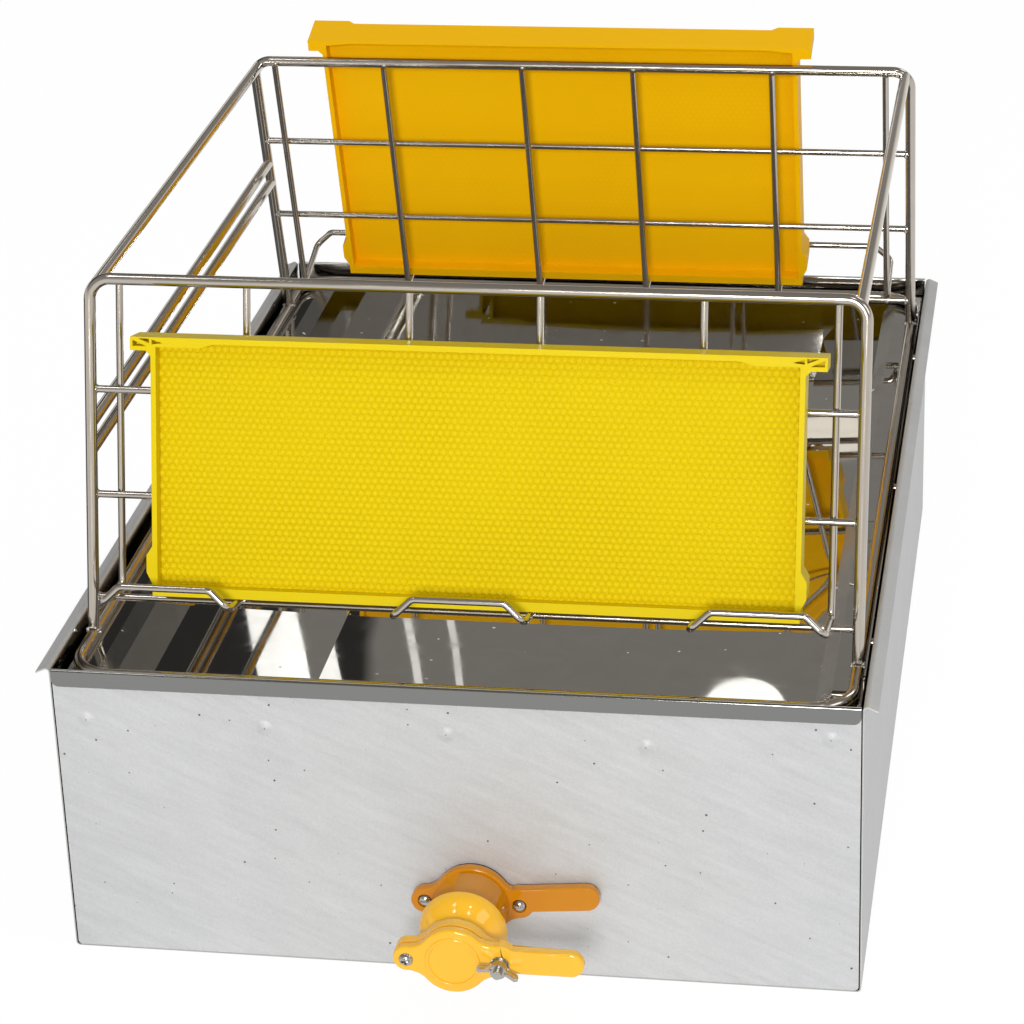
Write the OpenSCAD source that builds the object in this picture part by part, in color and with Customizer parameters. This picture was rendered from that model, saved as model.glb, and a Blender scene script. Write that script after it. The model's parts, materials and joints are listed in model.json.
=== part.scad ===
// Uncapping tank with lift-out strainer tray, rod holder for two comb frames and honey gate
// Origin at the middle of the tank's underside, front wall with the gate toward -Y

/* [Tank] */
// Outside width across the two long side walls
tank_w = 540; // [460:1:640]
// Outside length from front wall to rear wall
tank_d = 755; // [660:1:900]
// Height from the table to the rim
tank_h = 215; // [180:1:280]
// Thickness of the sheet used for tank and tray
sheet_t = 1; // [0.8:0.1:1.5]
// Middle radius of the folds in the sheet
fold_r = 2.5; // [2:0.1:4]
// Length of the outward flap along the top of each side wall
flap_len = 10.5; // [8:0.5:16]
// Fall of that flap below level
flap_angle = 25; // [10:1:40]
// Height of the hem folded over the front and rear walls
hem_drop = 12; // [8:0.5:18]
// Distance of the hem's middle from the wall's middle
hem_off = 2.4; // [2:0.1:4]
// Rounding of the hem's lower corners
hem_corner = 5; // [3:0.5:8]
// Open seam beside the front and rear walls
seam_gap = 0.8; // [0.4:0.1:1.5]

/* [Strainer tray] */
// Gap between the tray's edge and the tank walls
tray_gap = 3; // [2:0.5:6]
// Depth of the tray's ledge below the rim
tray_sink = 15; // [10:1:25]
// Width of the ledge that carries the rod work
ledge_w = 20; // [16:1:28]
// Width of the sloping strip inside the long ledges
strip_w = 10; // [6:1:14]
// Fall of the sloping strip
strip_fall = 6; // [4:0.5:9]
// Depth of the tray's floor below the rim, at its walls
floor_sink = 47; // [40:1:65]
// Fall of the floor from its walls to the strainer
floor_fall = 3; // [2:0.5:8]
// Width of the strainer sheet
strainer_w = 220; // [160:1:260]
// Length of the strainer sheet
strainer_d = 350; // [300:1:440]
// Overlap of the strainer sheet on the floor
strainer_lap = 8; // [6:1:12]
// Width of one strainer slot
slot_w = 4; // [3:0.5:6]
// Length of one strainer slot
slot_l = 28; // [20:1:36]
// Number of slots across and along
slots = [13, 9]; // [6:1:16]
// Diameter of the studs that carry the tray
stud_d = 6; // [5:0.5:8]
// Reach of a stud into the tank
stud_len = 11; // [9:0.5:14]
// Spacing of the studs along a side wall
stud_pitch = 250; // [200:1:280]

/* [Rod work] */
// Diameter of the rods of ring, hoops and rails
rod_d = 8; // [6:0.5:10]
// Diameter of the grille wires
wire_d = 5; // [4:0.5:6]
// Distance of the ring's long runs from the tank's side faces
ring_in_x = 9.5; // [9:0.5:12]
// Distance of the ring's short runs from the tank's end faces
ring_in_y = 15; // [12:0.5:20]
// Bend radius of the ring's corners
ring_bend = 28; // [20:1:40]
// Distance of a hoop's feet from the tank's end face
foot_in = 75; // [60:1:100]
// Lean of the hoops toward the middle
lean = 15; // [8:1:20]
// Height of a hoop along its slope
hoop_h = 243; // [200:1:280]
// Bend radius of a hoop's upper corners
hoop_bend = 14; // [10:1:24]
// Height of the lower side rail above the rim
rail_up = 111; // [80:1:130]
// Spacing of the two side rails
rail_pitch = 18; // [14:1:26]
// Heights of the middle and upper cross wires along the slope
cross_up = [96, 168]; // [80:1:180]
// Height of the lower cross wire along the slope
cross_low = 25; // [20:1:32]
// Reach of a hook in front of the hoop's middle
hook_reach = 48; // [40:1:56]
// Rise of a hook's lip above its legs
lip_rise = 12.5; // [9:0.5:16]
// Distance of a lip's ends inside its legs
lip_in = 13; // [10:0.5:18]

/* [Comb frames] */
// Width over the side bars of the front and rear frames
comb_w = [435, 377]; // [300:1:440]
// Height of the front and rear frames
comb_h = [175, 226.5]; // [150:0.5:240]
// Reach of the top bars' lugs past the side bars
lug_out = [14, 11]; // [8:0.5:18]
// Shift of the frames from the tank's middle
comb_x = [6, -16]; // [-20:1:20]
// Thickness of the frames
comb_t = [25, 27]; // [20:1:30]
// Width of the side bars
side_bar = 3.5; // [2.5:0.5:6]
// Height of the bottom bar
bottom_bar = 6.5; // [5:0.5:9]
// Height of the top bars in the middle
top_bar = [3.8, 1.8]; // [1.5:0.1:6]
// Height of the top bars beside the side bars
end_bar = [6.6, 3.8]; // [3:0.1:9]
// Length of the thicker part of a top bar beside a side bar
thick_len = [30, 3]; // [2:1:40]
// Length of the taper between the two heights
taper_len = [9, 17]; // [6:1:24]
// Reach of the plates that deepen the ends of the top bars
end_out = [0, 4]; // [0:0.5:6]
// Length of such a plate and of its slope
end_len = [28, 5]; // [4:1:40]
// Height of a lug
lug_h = 9; // [7:0.5:12]
// Thickness of the pressed middle sheet
web_t = 4.8; // [3:0.2:7]
// Height of the bump low on each side bar
bump_h = 26; // [18:1:34]
// Reach of that bump
bump_out = 4; // [2:0.5:6]
// Distance of the bump from the frame's underside
bump_up = 8; // [5:1:14]

/* [Gate] */
// Shift of the gate from the tank's middle
gate_x = 11; // [-30:1:30]
// Height of the gate's middle above the table
gate_z = 57; // [48:1:80]
// Inside radius of the gate
bore_r = 17; // [14:0.5:19]
// Thickness of the gasket
gasket_t = 2; // [1.5:0.5:3]
// Thickness of the wall flange
flange_t = 7; // [5:0.5:9]
// Radius of the flange's middle
flange_r = 27; // [26:0.5:31]
// Distance of the flange screws from the middle
screw_off = 32; // [31:0.5:36]
// Radius of the flange's ears
flange_ear = 9.5; // [8:0.5:11]
// Radius of the socket between flange and body
socket_r = 25; // [22:0.5:25.5]
// Distance of the body's rear edge from the wall
body_at = 42; // [34:1:50]
// Largest radius of the body
body_r = 29.5; // [28:0.5:32]
// Radius of the body's neck
neck_r = 20.5; // [20:0.5:22]
// Length of the body up to the seat plate
body_len = 24; // [20:1:32]
// Thickness of the seat plate
seat_t = 7; // [5:0.5:9]
// Radius of seat plate and shutter
disc_r = 23.5; // [22.5:0.5:26]
// Radius of the ears on seat plate and shutter
ear_r = 9; // [8:0.5:10]
// Distance of pivot and clamp bolt from the middle
pivot_off = 31; // [29:0.5:34]
// Thickness of the shutter
shutter_t = 8; // [6:0.5:10]
// Inside radius of the shutter's raised ring
rim_r = 16.5; // [14:0.5:18]
// Width and height of the raised ring
rim_s = [1.6, 0.9]; // [0.5:0.1:2]
// Distance of a lever's end from the gate's middle
lever_end = 86; // [76:1:95]
// Half width of a lever
lever_r = 9; // [7:0.5:10]
// Rise of the shutter's lever and of the flange's lever
lever_up = [2, 8]; // [0:0.5:9]
// Radius of the hollow sides between a gate plate's middle and its ears
hollow_r = 16; // [12:1:24]
// Radius of the shutter's hub around the clamp bolt
hub_r = 12; // [10.5:0.5:13]
// Diameters of pivot screw, clamp bolt and flange screws
bolt_d = [5, 6, 5]; // [4:0.5:6]
// Height of the screw heads
head_h = 3; // [2.5:0.1:4]
// Height of nuts and bolt head
nut_h = 4; // [3:0.5:5]
// Free length of the clamp bolt beyond the shutter
bolt_out = 13; // [11:0.5:18]
// Height of the wing nut's hub
wing_hub = 7; // [6:0.5:8]
// Reach of a wing from the bolt's middle
wing_reach = 14; // [12:0.5:16]
// Thickness of a wing
wing_t = 2.4; // [2:0.1:3]
// Turn of the wing nut as it is tightened
wing_turn = -14; // [-30:1:30]

/* [Hidden] */
// Smoothness of round faces
$fn = 64;
// Clearance between pieces that move against each other
play = 0.3;
// Clearance of a turning shaft
shaft_play = 0.06;
// Thickness of a weld's gap
weld = 0.05;
// Depth by which a straight edge lies inside the round ends it joins
nest = 0.03;
// Depth by which a wire's straights lie inside its bends
slim = 0.03;
// Angle by which the shutter's notch runs on past its lower edge
notch_turn = 30;
// Overrun of every cut
over = 1;
// Share of the hem's offset taken by each of its bends
hem_share = 0.45;
// Shares of the ring's width for hook spacing, hook width and the middle hook's shift
hook_shares = [0.3795, 0.169, 0.002];
// Corners of a lug's pockets as shares of its length from the tip and its height from the top
lug_shares = [
    [[0.13, 0.68], [0.13, 0.22], [0.8, 0.68]],
    [[0.38, 0.11], [0.94, 0.11], [0.94, 0.46]],
    [[1.06, 0.17], [1.6, 0.42], [1.06, 0.53]]
];
// Share of a lip's rise taken by one bend of the wire
bend_share = 0.46;
// Shares of a bump's height where its slopes end
bump_shares = [0.3, 0.75];
// Shares of the body's length along its outline
body_shares = [0, 0.12, 0.28, 0.42, 0.54, 0.65, 0.76, 0.88, 0.94, 1];
// Shares of the step from neck to rim along that outline
bell_shares = [1, 0.96, 0.82, 0.6, 0.36, 0.16, 0.03, 0, 0.12, 0.33];
// Shares of a bolt's diameter for head radius, washer radius, wing hub radius and slot
bolt_shares = [0.95, 1.08, 0.92, 0.24];
// Wing outline as shares of its reach and the hub's height
wing_shares = [[0.25, 0], [0.62, 0.55], [0.95, 0.85], [1, 1.35], [0.85, 1.62], [0.5, 1.25], [0.25, 0.95]];

wall_x = tank_w / 2;
wall_y = tank_d / 2;
half_t = sheet_t / 2;
tray_x = wall_x - sheet_t - tray_gap;
tray_y = wall_y - sheet_t - tray_gap;
ledge_z = tank_h - tray_sink;
ledge_x = tray_x - ledge_w;
ledge_y = tray_y - ledge_w;
trough_x = ledge_x - strip_w;
floor_z = tank_h - floor_sink;
flat_z = floor_z - floor_fall;
stud_z = ledge_z - sheet_t - play - stud_d / 2;
ring_x = wall_x - ring_in_x;
ring_y = wall_y - ring_in_y;
ring_z = ledge_z + play + rod_d / 2;
foot_y = wall_y - foot_in;
hook_pitch = 2 * ring_x * hook_shares[0];
hook_half = ring_x * hook_shares[1];
hook_mid = 2 * ring_x * hook_shares[2];
up_n = rod_d / 2 + wire_d / 2 + weld;
cross_n = up_n - wire_d - weld;
leg_s = cross_low + wire_d + weld;
seat_s = leg_s + wire_d / 2 + play;
comb_top = [for (i = [0, 1]) comb_w[i] + 2 * lug_out[i]];
comb_half = [for (i = [0, 1]) max(comb_top[i], comb_w[i] + 2 * bump_out) / 2 + abs(comb_x[i])];
hoop_in = ring_x - rod_d / 2 - play;
on_wires = [comb_half[0] < hoop_in, false];
comb_n = [for (i = [0, 1]) play + (on_wires[i] ? wire_d / 2 - cross_n : rod_d / 2)];
wire_bend = lip_rise * bend_share;
corner_in = hoop_bend * (1 - cos(45));
top_x = ring_x - corner_in;
top_s = hoop_h - corner_in;
seat_at = body_at + body_len;
shut_at = seat_at + seat_t + play;
face_at = shut_at + shutter_t;
plate_at = gasket_t + flange_t;
washer_at = face_at + play;
nut_at = washer_at + sheet_t + weld;
hole_r = bore_r + sheet_t;

// Names of all the pieces
// Piece to draw, or all

function unit(v) = v / norm(v);
function turn(a, p, b) = acos(unit(p - a) * unit(b - p));
function set_back(a, p, b, r) = r * tan(turn(a, p, b) / 2);
function polar(r, a) = r * [cos(a), sin(a)];
function other_side(pts) = [for (i = [len(pts) - 1 : -1 : 0]) [-pts[i][0], pts[i][1]]];
function bearing(a, b) = atan2(b[1] - a[1], b[0] - a[0]);

// Places children with their x and y axes along two given directions
module placed(c, x, y) {
    z = cross(x, y);
    multmatrix([[x[0], y[0], z[0], c[0]], [x[1], y[1], z[1], c[1]], [x[2], y[2], z[2], c[2]]]) children();
}

// Straight round rod between two points
module rod(a, b, d) {
    u = unit(b - a);
    side = unit(abs(u[0]) < 0.9 ? cross([1, 0, 0], u) : cross([0, 1, 0], u));
    placed(a, side, cross(u, side)) cylinder(h = norm(b - a), d = d);
}

// One bend of a round rod at the middle one of three points
module rod_bend(a, p, b, r, d) {
    u = unit(p - a);
    v = unit(b - p);
    w = unit(v - (u * v) * u);
    placed(p - u * set_back(a, p, b, r) + r * w, -w, u)
        rotate_extrude(angle = turn(a, p, b))
            translate([r, 0])
                circle(d = d);
}

// Round rod bent along a row of points, its straights slimmed and lapped into the bends where asked
module bent_rod(pts, r, d, less = 0) {
    n = len(pts) - 1;
    lap = sqrt(less * r);
    back = [for (i = [0 : n]) i == 0 || i == n ? 0 : set_back(pts[i - 1], pts[i], pts[i + 1], r)];
    for (i = [0 : n - 1]) {
        u = unit(pts[i + 1] - pts[i]);
        a = back[i] - (i == 0 ? 0 : lap);
        b = back[i + 1] - (i == n - 1 ? 0 : lap);
        rod(pts[i] + u * a, pts[i + 1] - u * b, d - 2 * less);
    }
    for (i = [1 : n - 1]) rod_bend(pts[i - 1], pts[i], pts[i + 1], r, d);
}

// Section of a folded sheet along a row of points in its middle
module sheet_path(pts, r) {
    n = len(pts) - 1;
    far = 2 * (r + sheet_t);
    back = [for (i = [0 : n]) i == 0 || i == n ? 0 : set_back(pts[i - 1], pts[i], pts[i + 1], r)];
    for (i = [0 : n - 1]) {
        u = unit(pts[i + 1] - pts[i]);
        a = pts[i] + u * back[i];
        b = pts[i + 1] - u * back[i + 1];
        s = half_t * [-u[1], u[0]];
        polygon([a - s, b - s, b + s, a + s]);
    }
    for (i = [1 : n - 1]) {
        u = unit(pts[i] - pts[i - 1]);
        v = unit(pts[i + 1] - pts[i]);
        w = unit(v - (u * v) * u);
        c = pts[i] - u * back[i] + r * w;
        e = unit(pts[i] + v * back[i] - c);
        translate(c) intersection() {
            difference() {
                circle(r = r + half_t);
                circle(r = r - half_t);
            }
            polygon([[0, 0], -w * far, unit(e - w) * far, e * far]);
        }
    }
}

// Section of a sheet with sharp folds along a row of points in its middle
module sharp_path(pts) {
    n = len(pts) - 1;
    u = [for (i = [0 : n - 1]) unit(pts[i + 1] - pts[i])];
    side = [for (i = [0 : n]) let (a = u[max(i - 1, 0)], b = u[min(i, n - 1)], m = unit(a + b))
        half_t / (m * a) * [-m[1], m[0]]];
    polygon(concat([for (i = [0 : n]) pts[i] - side[i]], [for (i = [n : -1 : 0]) pts[i] + side[i]]));
}

// Extrudes an x-z section along y, from -half to +half
module along_y(half) {
    translate([0, half, 0]) rotate([90, 0, 0]) linear_extrude(2 * half) children();
}

// Extrudes a y-z section along x, from -half to +half
module along_x(half) {
    translate([-half, 0, 0]) rotate([90, 0, 90]) linear_extrude(2 * half) children();
}

// Two circles joined by their outer tangents
module link(p, r, q, s) {
    a = bearing(p, q);
    b = acos((r - s) / norm(q - p));
    translate(p) circle(r = r);
    translate(q) circle(r = s);
    polygon([
        p + polar(r - nest, a - b), q + polar(s - nest, a - b),
        q + polar(s - nest, a + b), p + polar(r - nest, a + b)
    ]);
}

// Two circles joined by a waist with hollow sides
module waist(p, r, q, s) {
    a = bearing(p, q);
    d = norm(q - p);
    to_p = r + hollow_r;
    to_q = s + hollow_r;
    b = acos((to_p * to_p + d * d - to_q * to_q) / (2 * to_p * d));
    low = p + polar(to_p, a - b);
    high = p + polar(to_p, a + b);
    translate(p) circle(r = r);
    translate(q) circle(r = s);
    difference() {
        polygon([p, low, q, high]);
        translate(low) circle(r = hollow_r + nest);
        translate(high) circle(r = hollow_r + nest);
    }
}

// Cuts a corner down to a quarter round, its middle at the origin, the corner toward +x +z
module corner_cut(r, d) {
    rotate([90, 0, 0]) difference() {
        translate([0, 0, -d]) cube([r + over, r + over, 2 * d]);
        translate([0, 0, -d - over]) cylinder(r = r, h = 2 * (d + over));
    }
}

module tank_shell() color("silver") {
    x = wall_x - half_t;
    peak = tank_h - half_t - fold_r + fold_r * (1 + sin(flap_angle)) / cos(flap_angle);
    tip = flap_len * [cos(flap_angle), -sin(flap_angle)];
    along_y(wall_y) sheet_path([
        [-x - tip[0], peak + tip[1]], [-x, peak], [-x, half_t],
        [x, half_t], [x, peak], [x + tip[0], peak + tip[1]]
    ], fold_r);
}

// End wall with its hem, drawn at the front
module end_wall() {
    half = wall_x - sheet_t - seam_gap;
    y = -wall_y + half_t;
    z = tank_h - half_t;
    low = fold_r + half_t;
    difference() {
        along_x(half) sheet_path([
            [y, sheet_t + weld], [y, z], [y - hem_off, z], [y - hem_off, tank_h - hem_drop]
        ], hem_off * hem_share);
        for (m = [0, 1]) mirror([m, 0, 0]) {
            translate([half - low, -wall_y, sheet_t + weld + low])
                rotate([0, 90, 0])
                    corner_cut(low, hem_off);
            translate([half - hem_corner, y - hem_off, tank_h - hem_drop + hem_corner])
                rotate([0, 90, 0])
                    corner_cut(hem_corner, sheet_t);
        }
    }
}

module front_wall() color("gainsboro") difference() {
    end_wall();
    at_gate() {
        translate([0, 0, -sheet_t - over]) cylinder(r = hole_r, h = sheet_t + 2 * over);
        for (x = [-screw_off, screw_off])
            translate([x, 0, -sheet_t - over]) cylinder(d = bolt_d[2] + play, h = sheet_t + 2 * over);
    }
}

module rear_wall() color("gainsboro") mirror([0, 1, 0]) end_wall();

module tray_studs() color("silver") {
    for (m = [0, 1], y = [-stud_pitch, 0, stud_pitch])
        mirror([m, 0, 0])
            rod([wall_x - sheet_t, y, stud_z], [wall_x - sheet_t - stud_len, y, stud_z], stud_d);
}

module strainer_tray() color("silver") {
    top = ledge_z - half_t;
    half = [
        [tray_x, top], [ledge_x, top], [trough_x, top - strip_fall], [trough_x, floor_z - half_t],
        [strainer_w / 2, flat_z - half_t]
    ];
    mouth = [for (i = [1 : 4]) half[i]];
    difference() {
        union() {
            along_y(ledge_y + sheet_t)
                sharp_path(other_side(concat(half, other_side(half))));
            for (m = [0, 1]) mirror([0, m, 0]) {
                translate([-tray_x, ledge_y, ledge_z - sheet_t]) cube([2 * tray_x, ledge_w, sheet_t]);
                translate([0, ledge_y + half_t, 0])
                    along_y(half_t)
                        polygon(other_side(concat(mouth, other_side(mouth))));
            }
        }
        translate([-strainer_w / 2 + strainer_lap, -strainer_d / 2 + strainer_lap, flat_z - sheet_t - over])
            cube([strainer_w - 2 * strainer_lap, strainer_d - 2 * strainer_lap, sheet_t + 2 * over]);
    }
}

module strainer_sheet() color("silver") {
    room = [strainer_w - 2 * strainer_lap - 2 * slot_w, strainer_d - 2 * strainer_lap - 2 * slot_w];
    pitch = [room[0] / slots[0], room[1] / slots[1]];
    translate([0, 0, flat_z]) linear_extrude(sheet_t) difference() {
        square([strainer_w - 2 * fold_r, strainer_d - 2 * fold_r], center = true);
        for (i = [0 : slots[0] - 1], j = [0 : slots[1] - 1])
            translate([(i - (slots[0] - 1) / 2) * pitch[0], (j - (slots[1] - 1) / 2) * pitch[1]])
                square([slot_w, slot_l], center = true);
    }
}

module base_ring() color("silver") {
    p = [
        [-ring_x, -ring_y, ring_z], [ring_x, -ring_y, ring_z],
        [ring_x, ring_y, ring_z], [-ring_x, ring_y, ring_z]
    ];
    start = (p[0] + p[3]) / 2;
    bent_rod([start, p[0], p[1], p[2], p[3], start], ring_bend, rod_d);
}

// Frame of a grille: x across, z up its slope, -y toward the comb
module grille(side) {
    mirror([0, side, 0]) translate([0, -foot_y, ring_z]) rotate([-lean, 0, 0]) children();
}

// Hoop's path, with the rod grown by a weld's gap where it cuts another rod
module hoop_rod(grow) {
    bent_rod([
        [-ring_x, 0, 0], [-ring_x, 0, hoop_h], [ring_x, 0, hoop_h], [ring_x, 0, 0]
    ], hoop_bend, rod_d + grow);
}

module hoop(side) difference() {
    grille(side) hoop_rod(0);
    for (x = [-ring_x, ring_x]) rod([x, -ring_y, ring_z], [x, ring_y, ring_z], rod_d + 2 * weld);
}

module front_hoop() color("silver") hoop(0);

module rear_hoop() color("silver") hoop(1);

// Rail between the two hoops at a given place on the slope
module rail(x, s) {
    y = foot_y - s * sin(lean);
    z = ring_z + s * cos(lean);
    difference() {
        rod([x, -y, z], [x, y, z], rod_d);
        for (side = [0, 1]) grille(side) hoop_rod(2 * weld);
    }
}

module left_top_rail() color("silver") rail(-top_x, top_s);

module right_top_rail() color("silver") rail(top_x, top_s);

module upper_side_rail() color("silver") rail(-ring_x, (tank_h + rail_up + rail_pitch - ring_z) / cos(lean));

module lower_side_rail() color("silver") rail(-ring_x, (tank_h + rail_up - ring_z) / cos(lean));

// One wire bent to two uprights and a hook
module hook(side, x) grille(side) translate([x, 0, 0]) {
    l = -hook_half;
    r = hook_half;
    lip = leg_s + lip_rise;
    bent_rod([
        [l, up_n, hoop_h], [l, up_n, leg_s], [l, -hook_reach, leg_s], [l + lip_in, -hook_reach, lip],
        [r - lip_in, -hook_reach, lip], [r, -hook_reach, leg_s], [r, up_n, leg_s], [r, up_n, hoop_h]
    ], wire_bend, wire_d, slim);
}

module front_left_hook() color("silver") hook(0, -hook_pitch);

module front_middle_hook() color("silver") hook(0, hook_mid);

module front_right_hook() color("silver") hook(0, hook_pitch);

module rear_left_hook() color("silver") hook(1, -hook_pitch);

module rear_middle_hook() color("silver") hook(1, hook_mid);

module rear_right_hook() color("silver") hook(1, hook_pitch);

// Wire across a hoop at a given place on its slope
module cross_wire(side, s) grille(side) difference() {
    rod([-ring_x, cross_n, s], [ring_x, cross_n, s], wire_d);
    hoop_rod(2 * weld);
}

module front_lower_cross() color("silver") cross_wire(0, cross_low);

module front_middle_cross() color("silver") cross_wire(0, cross_up[0]);

module front_upper_cross() color("silver") cross_wire(0, cross_up[1]);

module rear_lower_cross() color("silver") cross_wire(1, cross_low);

module rear_middle_cross() color("silver") cross_wire(1, cross_up[0]);

module rear_upper_cross() color("silver") cross_wire(1, cross_up[1]);

// Outline of a comb frame with its top bar, its bumps and the slopes below its lugs
module comb_outline(w, h, top) {
    x = w / 2;
    in = x - side_bar;
    low = bump_up + bump_h * bump_shares[0];
    high = bump_up + bump_h * bump_shares[1];
    translate([-x, 0]) square([w, h]);
    translate([-top / 2, h - lug_h]) square([top, lug_h]);
    bump = [
        [in, bump_up], [x, bump_up], [x + bump_out, low], [x + bump_out, high],
        [x, bump_up + bump_h], [in, bump_up + bump_h]
    ];
    slope = [
        [in, h - lug_h - side_bar], [x, h - lug_h - side_bar], [x + side_bar, h - lug_h],
        [x + side_bar, h - lug_h / 2], [in, h - lug_h / 2]
    ];
    for (p = [bump, slope]) {
        polygon(p);
        polygon(other_side(p));
    }
}

// Field of a comb frame below its top bar
module comb_field(side) {
    x = comb_w[side] / 2 - side_bar;
    low = comb_h[side] - end_bar[side];
    high = comb_h[side] - top_bar[side];
    thick = thick_len[side];
    slope = thick + taper_len[side];
    polygon([
        [-x, bottom_bar], [x, bottom_bar], [x, low], [x - thick, low], [x - slope, high],
        [slope - x, high], [thick - x, low], [-x, low]
    ]);
}

// Three triangular pockets at each lug
module lug_pockets(side) {
    for (tri = lug_shares) {
        p = [for (q = tri) [comb_top[side] / 2 - q[0] * lug_out[side], comb_h[side] - q[1] * lug_h]];
        polygon(p);
        polygon(other_side(p));
    }
}

// Plates on the outer face at the ends of the top bar
module end_plates(side) {
    tip = comb_top[side] / 2;
    in = tip - end_len[0];
    t = comb_t[side];
    p = [
        [in - end_len[1], t - over], [tip, t - over], [tip, t + end_out[side]],
        [in, t + end_out[side]], [in - end_len[1], t]
    ];
    translate([0, comb_h[side], 0]) rotate([90, 0, 0]) linear_extrude(lug_h) {
        polygon(p);
        polygon(other_side(p));
    }
}

// Comb frame resting on the hooks of one grille
module comb_frame(side) {
    t = comb_t[side];
    deep = (t - web_t) / 2;
    grille(side) translate([comb_x[side], -comb_n[side], seat_s]) rotate([90, 0, 0]) difference() {
        union() {
            linear_extrude(t) comb_outline(comb_w[side], comb_h[side], comb_top[side]);
            if (end_out[side] > 0) end_plates(side);
        }
        translate([0, 0, -over]) linear_extrude(deep + over) comb_field(side);
        translate([0, 0, t - deep]) linear_extrude(deep + end_out[side] + over) {
            comb_field(side);
            lug_pockets(side);
        }
    }
}

module front_comb_frame() color("gold") comb_frame(0);

module rear_comb_frame() color("orange") comb_frame(1);

// Frame of the gate: x to the right, y up, z out of the wall
module at_gate() {
    translate([gate_x, -wall_y, gate_z]) rotate([90, 0, 0]) children();
}

module gate_gasket() color("dimgray") at_gate() difference() {
    cylinder(r = flange_r - sheet_t, h = gasket_t);
    translate([0, 0, -over]) cylinder(r = bore_r, h = gasket_t + 2 * over);
}

module gate_flange() color("orange") at_gate() difference() {
    union() {
        translate([0, 0, gasket_t]) linear_extrude(flange_t) {
            waist([0, 0], flange_r, [-screw_off, 0], flange_ear);
            waist([0, 0], flange_r, [screw_off, 0], flange_ear);
            link([screw_off, lever_up[1] / 2], lever_r, [lever_end - lever_r, lever_up[1]], lever_r);
        }
        translate([0, 0, gasket_t]) cylinder(r = socket_r, h = body_at - gasket_t);
    }
    translate([0, 0, gasket_t - over]) cylinder(r = bore_r, h = body_at + over);
    for (x = [-screw_off, screw_off]) translate([x, 0, gasket_t - over]) {
        cylinder(d = bolt_d[2] + play, h = flange_t + 2 * over);
        translate([0, 0, flange_t - head_h / 2 + over])
            cylinder(r = bolt_d[2] * bolt_shares[0] + play, h = body_at);
    }
}

// Screw with a slotted round head, its head's underside at the origin
module screw(d, down) {
    r = d * bolt_shares[0];
    round_r = (r * r + head_h * head_h) / (2 * head_h);
    difference() {
        union() {
            intersection() {
                cylinder(r = r, h = head_h);
                translate([0, 0, head_h - round_r]) sphere(r = round_r);
            }
            translate([0, 0, -down]) cylinder(d = d, h = down + over);
        }
        translate([-r, -d * bolt_shares[3] / 2, head_h / 2]) cube([2 * r, d * bolt_shares[3], head_h]);
    }
}

module hex_nut(d) difference() {
    cylinder(r = d * bolt_shares[0], h = nut_h, $fn = 6);
    translate([0, 0, -over]) cylinder(d = d + 2 * shaft_play, h = nut_h + 2 * over);
}

module flange_screws() color("silver") at_gate() {
    for (x = [-screw_off, screw_off])
        translate([x, 0, plate_at - head_h / 2]) screw(bolt_d[2], plate_at + sheet_t + nut_h);
}

module flange_nuts() color("silver") at_gate() {
    for (x = [-screw_off, screw_off]) translate([x, 0, -sheet_t - nut_h - weld]) hex_nut(bolt_d[2]);
}

module gate_body() color("gold") at_gate() difference() {
    union() {
        translate([0, 0, body_at + weld]) rotate_extrude() polygon(concat(
            [[0, 0]],
            [for (i = [0 : 9])
                [neck_r + (body_r - neck_r) * bell_shares[i], (body_len - weld) * body_shares[i]]],
            [[0, body_len - weld]]));
        translate([0, 0, seat_at]) linear_extrude(seat_t)
            for (x = [-pivot_off, pivot_off]) waist([0, 0], disc_r, [x, 0], ear_r);
    }
    translate([0, 0, body_at - over]) cylinder(r = bore_r, h = body_len + seat_t + 2 * over);
    translate([0, 0, seat_at + seat_t - gasket_t]) cylinder(r = bore_r + gasket_t, h = gasket_t + over);
    for (i = [0, 1])
        translate([(2 * i - 1) * pivot_off, 0, seat_at - over])
            cylinder(d = bolt_d[i] + 2 * shaft_play, h = seat_t + 2 * over);
}

module seat_seal() color("dimgray") at_gate() translate([0, 0, seat_at + seat_t - gasket_t + weld])
    difference() {
        cylinder(r = bore_r + gasket_t - weld, h = gasket_t);
        translate([0, 0, -over]) cylinder(r = bore_r, h = gasket_t + 2 * over);
    }

module gate_shutter() color("gold") at_gate() translate([0, 0, shut_at]) difference() {
    union() {
        linear_extrude(shutter_t) difference() {
            union() {
                waist([0, 0], disc_r, [-pivot_off, 0], ear_r);
                waist([0, 0], disc_r, [pivot_off, lever_up[0]], hub_r);
                link([pivot_off, lever_up[0]], lever_r, [lever_end - lever_r, lever_up[0]], lever_r);
            }
            translate([-pivot_off, 0]) intersection() {
                difference() {
                    circle(r = 2 * pivot_off + bolt_d[1] / 2 + play);
                    circle(r = 2 * pivot_off - bolt_d[1] / 2 - play);
                }
                polygon([[0, 0], polar(4 * pivot_off, -notch_turn), [4 * pivot_off, 0]]);
            }
        }
        translate([0, 0, shutter_t - over]) linear_extrude(rim_s[1] + over) difference() {
            circle(r = rim_r + rim_s[0]);
            circle(r = rim_r);
        }
    }
    translate([-pivot_off, 0, -over]) cylinder(d = bolt_d[0] + 2 * shaft_play, h = shutter_t + 2 * over);
    translate([pivot_off, 0, -over]) cylinder(d = bolt_d[1] + 2 * play, h = shutter_t + 2 * over);
}

module pivot_screw() color("silver") at_gate() translate([-pivot_off, 0, face_at + play])
    rotate([0, 0, 90])
        screw(bolt_d[0], face_at + play - seat_at + nut_h);

module pivot_nut() color("silver") at_gate() translate([-pivot_off, 0, seat_at - nut_h - weld])
    hex_nut(bolt_d[0]);

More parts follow.
